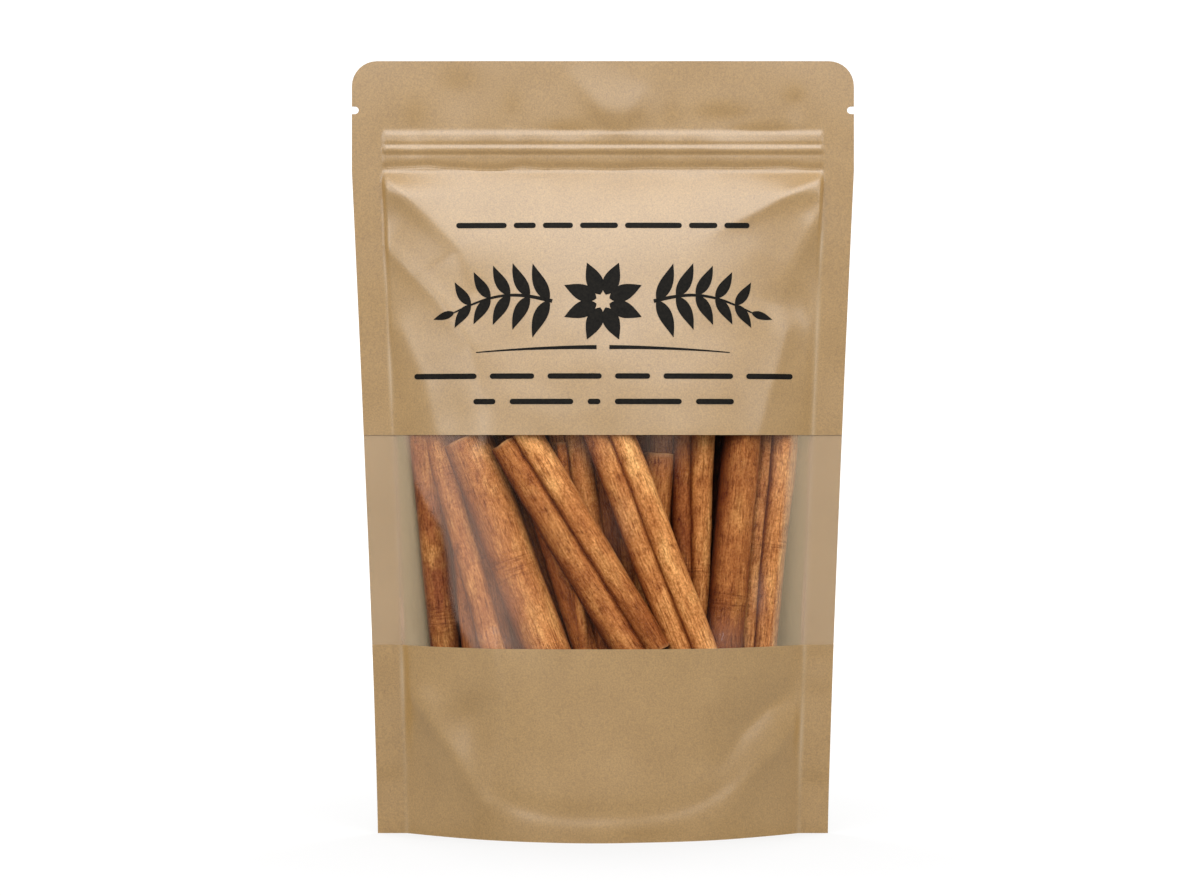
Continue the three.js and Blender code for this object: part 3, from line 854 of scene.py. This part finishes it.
# The front panel's folds and dents, which the film takes on along its edges.
front_folds = [
    {"points": [(-71, 210), (-58, 198), (-46, 186), (-40, 172)], "rise": 3.5, "flanks": (14, 5),
     "fade": 1.0},
    {"points": [(-69.4, 187), (-51.6, 169.6), (-41.9, 155.2), (-37, 134)], "rise": 1.9,
     "flanks": (7, 6), "fade": 1.0, "softness": 1.0},
    {"points": [(-64, 160), (-56, 142), (-53, 128)], "rise": 0.6, "flanks": (4, 5), "fade": 0.3},
    {"points": [(71, 209.5), (48.2, 197.6), (34.5, 191)], "rise": 3.0, "flanks": (6, 14),
     "softness": 0.6},
    {"points": [(69.1, 196.9), (60, 181), (54.5, 168)], "rise": 2.5, "flanks": (5, 9),
     "fade": 1.0},
    {"points": [(58, 160), (49, 128)], "rise": 0.8, "flanks": (4, 9), "fade": 0.2},
    {"points": [(-65, 49), (-55, 37), (-46, 25), (-38, 12)], "rise": 3.0, "flanks": (9, 5),
     "softness": 1, "fade": 0.5},
    {"points": [(-34, 66), (-31, 44), (-35, 22), (-36, 9)], "rise": 1.5, "flanks": (5, 5),
     "softness": 3, "fade": 0.4},
    {"points": [(57, 43), (52, 41), (43, 33), (38, 24)], "rise": -2.5, "flanks": (6, 8),
     "softness": 1.5, "fade": 0.3},
    {"points": [(62, 35), (55, 28), (46, 19), (42, 11)], "rise": 1.7, "flanks": (4, 9),
     "softness": 1.5, "fade": 0.5},
    {"points": [(37, 62), (36, 42), (40, 20), (38, 8)], "rise": 0.9, "flanks": (5, 5),
     "softness": 3, "fade": 0.2},
]
front_dents = [
    (-47, 133, 7, 10, 10, 0.8), (15, 0, 11, 5, 3, 0.8), (68, 199, 5, 4, 4, 0.7),
    (61, 168, 6, 7, 7, 0.7), (-41, 37, 7, 7, 11, 1.8), (-56, 42, 5, 5, 8, -0.8),
]


def front_face(x, z):
    return stand_off(x, z, front_folds, front_dents, seed=11)


def film_face(x, z):
    """The film's outer face: taut over the window, and shaped like the paper where they meet."""
    taut = smooth(0, 7 * MM, z - window_foot) * smooth(0, 7 * MM, window_head - z)
    form = front_form(x, z)
    return form + (front_face(x, z) - form) * (1 - taut) - 1.2 * paper


film_thickness = 0.12 * MM
film_overlap = 3 * MM
film_heights = levels(window_foot - film_overlap, window_head + film_overlap, 1.2 * MM)
window_film = add_panel("window_film_clear", film_heights, film_face, way=-1)

# The milky patch, partly a painted reflection, as its sharp left and soft right sides for heights
# from top to bottom.
patch_heights = [126.8, 112.4, 105.4, 97.3, 88.8, 81.3, 75.8, 68.9, 60.8]
patch_left = [-64, -60.2, -56.5, -51.4, -49.5, -48.9, -48.4, -46.6, -41.9]
patch_fade = [-44, -40, -37, -34, -31, -28, -26, -24, -22]

# More milky spots, partly painted reflections, as x, z, half the width, half the height and
# strength.
milk_and_reflection_spots = [
    (57, 118, 5, 14, 1.2), (50, 100, 3, 16, 0.4), (49.5, 76, 2.2, 7, 1.5), (39, 62, 6, 7, 1.0),
    (-2, 124, 9, 7, 0.5), (6, 100, 5, 9, 0.4), (19, 124, 7, 7, 1.0),
]

# A gleam is painted as milky film along the crease where the film turns in to a side seal, more
# so at these places, as x, z, half the height and strength.
crease_gleams = [(-62, 68, 7, 3.0), (62, 72, 14, 2.0), (-66, 110, 22, 0.6), (66, 112, 16, 0.4)]

# How milky the film is in the patch and right of it, partly as painted reflection, as a painted
# highlight along the creases, and over the side seals.
patch_milk_and_reflection = 2.4
beside_patch_milk_and_reflection = 0.15
crease_highlight = 1.6
seal_haze = 0.6


def haze_and_reflection_at(x, z):
    """How milky the film is: most in the patch, partly a painted reflection, and as a painted gleam
    along the seals.
    """
    left = np.interp(-z / MM, [-h for h in patch_heights], patch_left) * MM
    fade = np.interp(-z / MM, [-h for h in patch_heights], patch_fade) * MM
    patch = smooth(-0.4 * MM, 1.6 * MM, x - left) * (1 - smooth(-9 * MM, 9 * MM, x - fade))
    haze_and_reflection = patch_milk_and_reflection * patch * (0.9 + 0.25 * ripple(x, z, 14 * MM, 3))
    haze_and_reflection = haze_and_reflection + beside_patch_milk_and_reflection * (1 - smooth(-20 * MM, 30 * MM, x)) * smooth(-2 * MM, 0, x - left)
    for spot_x, spot_z, across, up, strength in milk_and_reflection_spots:
        away = ((x - spot_x * MM) / (across * MM)) ** 2 + ((z - spot_z * MM) / (up * MM)) ** 2
        haze_and_reflection = haze_and_reflection + strength * np.exp(-away)
    from_seal = inner_half(z) - np.abs(x)
    crease = hump((from_seal - 0.6 * MM) / (0.6 * MM))
    gleam = crease_highlight
    for spot_x, spot_z, up, strength in crease_gleams:
        gleam = gleam + strength * hump((z - spot_z * MM) / (up * MM)) * (x * spot_x > 0)
    return haze_and_reflection + gleam * crease + seal_haze * (1 - smooth(-0.5 * MM, 0.5 * MM, from_seal))


def heap_edge(quill, side, z):
    """The x of an outer quill's outer edge at a height."""
    share = (z - window_foot) / (window_head - window_foot)
    foot_widths = quill.get("foot_widths", quill["widths"])
    foot_edge = quill["foot"] + side * sum(foot_widths) / 2
    head_edge = quill["head"] + side * sum(quill["widths"]) / 2
    return (foot_edge + (head_edge - foot_edge) * share) * MM


def painted_paper_at(x, z):
    """How much lit paper colour is painted on the film, over the seals and out to the heap, to
    stand for the paper behind, which lies in shade.
    """
    from_seal = inner_half(z) - np.abs(x)
    beside = np.maximum(heap_edge(quills[0], -1, z) - x, x - heap_edge(quills[-1], 1, z))
    margin = 0.2 + 0.12 * smooth(-0.5 * MM, 1.5 * MM, from_seal)
    inward = 1 - 0.5 * smooth(2 * MM, 9 * MM, from_seal)
    return margin * smooth(-1 * MM, 1.5 * MM, beside) * inward


film_x, _, film_z = corners_of(window_film)
mark(window_film, "haze_and_reflection", haze_and_reflection_at(film_x, film_z))
mark(window_film, "tint", painted_paper_at(film_x, film_z))
thicken(window_film, film_thickness)


# Cast polypropylene film, clear and glossy, a little milky, with painted reflections and gleams in
# the milk.

def make_film():
    material, tree, output = new_material("clear_polypropylene_film")
    haze_and_reflection, tint = (add_node(tree, "Attribute", {}, output="Fac", attribute_name=name)
                  for name in ("haze_and_reflection", "tint"))
    turned = add_node(tree, "LayerWeight", {"Blend": 0.12}, output="Facing")
    sheen = add_node(tree, "Math", {0: turned, 1: 0.25, 2: 0.001}, operation="MULTIPLY_ADD")
    # The milky share is partly painted reflection and painted gleam.
    milk_and_reflection_share = add_node(tree, "Math", {0: haze_and_reflection, 1: 0.05}, operation="MULTIPLY")
    mixed = add_node(tree, "BsdfTransparent", {"Color": grey(0.995)})
    gloss = add_node(tree, "BsdfGlossy", {"Color": grey(1), "Roughness": 0.12})
    # Painted lit paper colour, where the paper behind the film lies in shade.
    painted_lit_paper = add_node(tree, "BsdfDiffuse", {"Color": linear("#dcc8a6")})
    milk_and_reflection = add_node(tree, "BsdfDiffuse", {"Color": linear("#e9bfa9")})
    for share, finish in ((sheen, gloss), (tint, painted_lit_paper), (milk_and_reflection_share, milk_and_reflection)):
        mixed = add_node(tree, "MixShader", {0: share, 1: mixed, 2: finish})
    tree.links.new(mixed, output.inputs["Surface"])
    return material


window_film.data.materials.append(make_film())
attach(window_film, "root")
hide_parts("window_film")


# ---- The front panel ----
# The same kraft laminate in two sheets, one above the window and one below it, welded to the
# film along the window's edges and to the back panel along the sides.

lower_front = add_panel(
    "front_panel_lower", levels(0, window_foot, 0.85 * MM), front_face, way=-1)
upper_heights = np.concatenate([levels(window_head, zip_foot - 1 * MM, 1.05 * MM), head_heights])
upper_front = add_panel("front_panel_upper", upper_heights, front_face, way=-1)
for panel in (lower_front, upper_front):
    paint_seal_highlight(panel)
    thicken(panel, paper)
    panel.data.materials.append(kraft)
    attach(panel, "root")
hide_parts("pouch")


# ---- The gusset ----
# A second sheet of the same laminate, folded into the foot of the pouch and welded to both
# panels along the curved seal. The sticks' weight spreads it just clear of the shelf.

gusset_belly = 1.2 * MM
gusset_gap = 0.25 * MM
gusset_columns = 60
gusset_rows = 24


def gusset_limit(v, x, z):
    """How far the gusset may stand from the middle plane: up to the panel in front or behind."""
    return np.where(v < 0, front_face(x, z), back_face(x, z)) - paper - gusset_gap


def add_gusset():
    gusset = add_grid("bottom_gusset", gusset_columns, gusset_rows)
    u, v, _ = corners_of(gusset)
    x = u * gusset_seal_half
    weld = gusset_seal(x)
    z = gusset_belly + (weld - gusset_belly) * np.maximum(v**2, 0.92 * np.abs(u) ** 3)
    reach = np.minimum(np.abs(v) * gusset_limit(v, x, weld), gusset_limit(v, x, z))
    lay(gusset, x, np.sign(v) * np.clip(reach, 0.1 * MM, None), z)
    bpy.ops.object.mode_set(mode="EDIT")
    bpy.ops.mesh.select_all(action="SELECT")
    bpy.ops.mesh.flip_normals()
    bpy.ops.object.mode_set(mode="OBJECT")
    thicken(gusset, paper)
    return gusset


gusset = add_gusset()
gusset.data.materials.append(kraft)
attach(gusset, "root")


# ---- The print ----
# Black ink on the upper front panel: a blossom between two leafy sprigs, over a thin rule, with
# rows of plain dashes above and below. It is a film of ink, so it follows the paper's every fold.

ink_rise = 0.1 * MM
ink_thickness = 0.06 * MM


def add_stroke(path, half, steps):
    """A flat stroke of ink along a path, both given over 0 to 1, laid on the front panel."""
    stroke = add_grid("stroke", steps, 4)
    for vertex in stroke.data.vertices:
        share = (vertex.co.x + 1) / 2
        step = 0.001
        x, z = path(share)
        x0, z0 = path(max(share - step, 0))
        x1, z1 = path(min(share + step, 1))
        length = math.hypot(x1 - x0, z1 - z0)
        reach = half(share) * vertex.co.y
        x, z = x - (z1 - z0) / length * reach, z + (x1 - x0) / length * reach
        place = np.array([x]), np.array([z])
        y = float(sway(*place)[0] - front_face(*place)[0])
        vertex.co = (x, y - ink_rise, z)
    thicken(stroke, ink_thickness)
    return stroke


def dash(left, right, height, half):
    """A plain dash with round ends, where its points stand closest."""
    length = right - left

    def walked(share):
        return length * (1 - math.cos(math.pi * share)) / 2

    def reach(share):
        end = min(walked(share), length - walked(share))
        return half * math.sqrt(max(0.0, 1 - max(0.0, 1 - end / half) ** 2)) + 0.01 * MM

    return add_stroke(lambda share: (left + walked(share), height), reach, 30)


def leaf(root, angle, length, half, curl=0.0):
    """A pointed leaf, widest in its lower half and curled a little."""
    def path(share):
        turned = angle + curl * share
        away = length * share
        return root[0] + away * math.cos(turned), root[1] + away * math.sin(turned)

    return add_stroke(path, lambda share: half * math.sin(math.pi * share**0.75) + 0.02 * MM, 20)


blossom_height = 169 * MM
blossom_petals = 8
petal_start = 2.2 * MM
petal_length = 11 * MM
petal_half = 2.6 * MM
sprig_start = 16 * MM
sprig_length = 31 * MM
leaf_pairs = 5


def blossom():
    """The middle of the ornament: a ring of petals."""
    petals = []
    for number in range(blossom_petals):
        angle = 2 * math.pi * (number + 0.5) / blossom_petals
        root = (petal_start * math.cos(angle), blossom_height + petal_start * math.sin(angle))
        petals.append(leaf(root, angle, petal_length, petal_half))
    return petals


def sprig(side):
    """One side of the ornament: a stem that rises and falls, with pairs of leaves that get
    smaller, and a last leaf at its tip."""
    def stem(share):
        rise = 3.5 * math.sin(math.pi * share) - 3.5 * share
        return side * (sprig_start + sprig_length * share), blossom_height + rise * MM

    strokes = [add_stroke(stem, lambda share: (0.6 - 0.35 * share) * MM, 40)]
    for pair in range(leaf_pairs):
        share = 0.03 + 0.8 * pair / (leaf_pairs - 1)
        length = (13 - 5 * share) * MM
        half = (2.15 - 0.7 * share) * MM
        for up in (1, -1):
            angle = up * math.radians(56 - 14 * share)
            if side < 0:
                angle = math.pi - angle
            strokes.append(leaf(stem(share), angle, length, half, 0.18 * up * side))
    tip_angle = math.radians(-18) if side > 0 else math.radians(198)
    strokes.append(leaf(stem(1), tip_angle, 7 * MM, 1.2 * MM))
    return strokes


ink_strokes = blossom() + sprig(-1) + sprig(1)
for side in (-1, 1):
    ink_strokes.append(add_stroke(
        lambda share: (side * (2 + 38 * share) * MM, 154.4 * MM - 1.6 * MM * share**2),
        lambda share: (0.65 - 0.5 * share) * MM, 30))

dash_half = 0.85 * MM
dash_rows = [
    {"height": 193.2, "left": -46.5, "right": 46.5, "lengths": (16, 7, 9.5, 12, 18, 9, 8)},
    {"height": 145.3, "left": -59.8, "right": 60.2, "lengths": (20, 14, 17, 11, 22, 15)},
    {"height": 137.3, "left": -40.8, "right": 41.2, "lengths": (7, 20, 4, 21, 12)},
]
for row in dash_rows:
    gaps = len(row["lengths"]) - 1
    gap = (row["right"] - row["left"] - sum(row["lengths"])) / gaps
    left = row["left"]
    for length in row["lengths"]:
        ink_strokes.append(dash(left * MM, (left + length) * MM, row["height"] * MM, dash_half))
        left += length + gap
printed = join(ink_strokes, "front_print")


# Flexographic ink: a warm black, duller than the laminate, and a little uneven.

def make_ink():
    material, tree, output = new_material("black_flexographic_ink")
    place = add_node(tree, "TexCoord", {}, output="Object")
    grain = add_node(tree, "TexNoise", {
        "Vector": place, "Scale": 1 / (0.8 * MM), "Detail": 2, "Roughness": 0.6})
    colour = add_node(tree, "ValToRGB", {"Fac": grain}, stops=[
        (0.3, "#100e0b"), (0.75, "#211d17")])
    shader = add_node(tree, "BsdfPrincipled", {
        "Base Color": colour, "Roughness": 0.5, "Specular IOR Level": 0.12})
    tree.links.new(shader, output.inputs["Surface"])
    return material


printed.data.materials.append(make_ink())
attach(printed, "root")


# ---- Floor and light ----
# A white sweep under soft light from above and in front, as in a small product studio.

bpy.ops.object.select_all(action="DESELECT")
bpy.ops.mesh.primitive_plane_add(size=12, location=(0, 0, 0))
floor = bpy.context.object
floor.name = "floor"
floor_material, floor_tree, floor_output = new_material("white_studio_paper")
floor_seen = add_node(floor_tree, "LightPath", {}, output="Is Camera Ray")
floor_place = add_node(floor_tree, "TexCoord", {}, output="Object")
floor_away = add_node(floor_tree, "VectorMath", {0: floor_place}, output="Value",
                      operation="LENGTH")
floor_level = add_node(floor_tree, "MapRange", {
    "Value": floor_away, "From Min": 0.12, "From Max": 1.2, "To Min": 0.68, "To Max": 1.0})
floor_glow = add_node(floor_tree, "Math", {0: floor_seen, 1: floor_level}, operation="MULTIPLY")
floor_shader = add_node(floor_tree, "BsdfPrincipled", {
    "Base Color": grey(0.22), "Roughness": 0.9, "Specular IOR Level": 0.0,
    "Emission Color": grey(1), "Emission Strength": floor_glow})
floor_tree.links.new(floor_shader, floor_output.inputs["Surface"])
floor.data.materials.append(floor_material)


def add_light(name, place, aim, size, power):
    """A soft rectangular light, turned towards a point."""
    bpy.ops.object.light_add(type="AREA", location=place)
    light = bpy.context.object
    light.name = name
    light.data.shape = "RECTANGLE"
    light.data.size, light.data.size_y = size
    light.data.energy = power
    light.rotation_euler = (Vector(aim) - Vector(place)).to_track_quat("-Z", "Y").to_euler()


middle = (0, 0, 0.12)
add_light("key_softbox", (0.05, -0.89, 0.92), middle, (1.2, 0.96), 7.7)
add_light("side_left", (-0.92, -0.49, 0.72), middle, (0.8, 0.75), 1.5)
add_light("side_right", (0.89, -0.45, 0.79), middle, (0.7, 0.6), 1.0)
add_light("strip_left", (-0.66, -0.76, 0.42), middle, (0.12, 0.4), 0.8)
add_light("strip_right", (0.76, -0.66, 0.42), middle, (0.12, 0.4), 0.6)
add_light("rear_left", (-0.9, 1.1, 0.9), middle, (0.9, 0.6), 9)
add_light("rear_right", (0.9, 1.1, 0.9), middle, (0.9, 0.6), 9)

world = bpy.data.worlds.new("white_studio")
bpy.context.scene.world = world
world.use_nodes = True
studio = world.node_tree
studio.nodes.clear()
world_output = studio.nodes.new("ShaderNodeOutputWorld")
seen = add_node(studio, "LightPath", {}, output="Is Camera Ray")
mirrored = add_node(studio, "LightPath", {}, output="Is Glossy Ray")
dimmed = add_node(studio, "Math", {0: mirrored, 1: -0.76, 2: 0.92}, operation="MULTIPLY_ADD")
strength = add_node(studio, "Math", {0: seen, 1: 0.3, 2: dimmed}, operation="MULTIPLY_ADD")
background = add_node(studio, "Background", {"Color": grey(1), "Strength": strength})
studio.links.new(background, world_output.inputs["Surface"])
bpy.context.scene.view_settings.view_transform = "Standard"
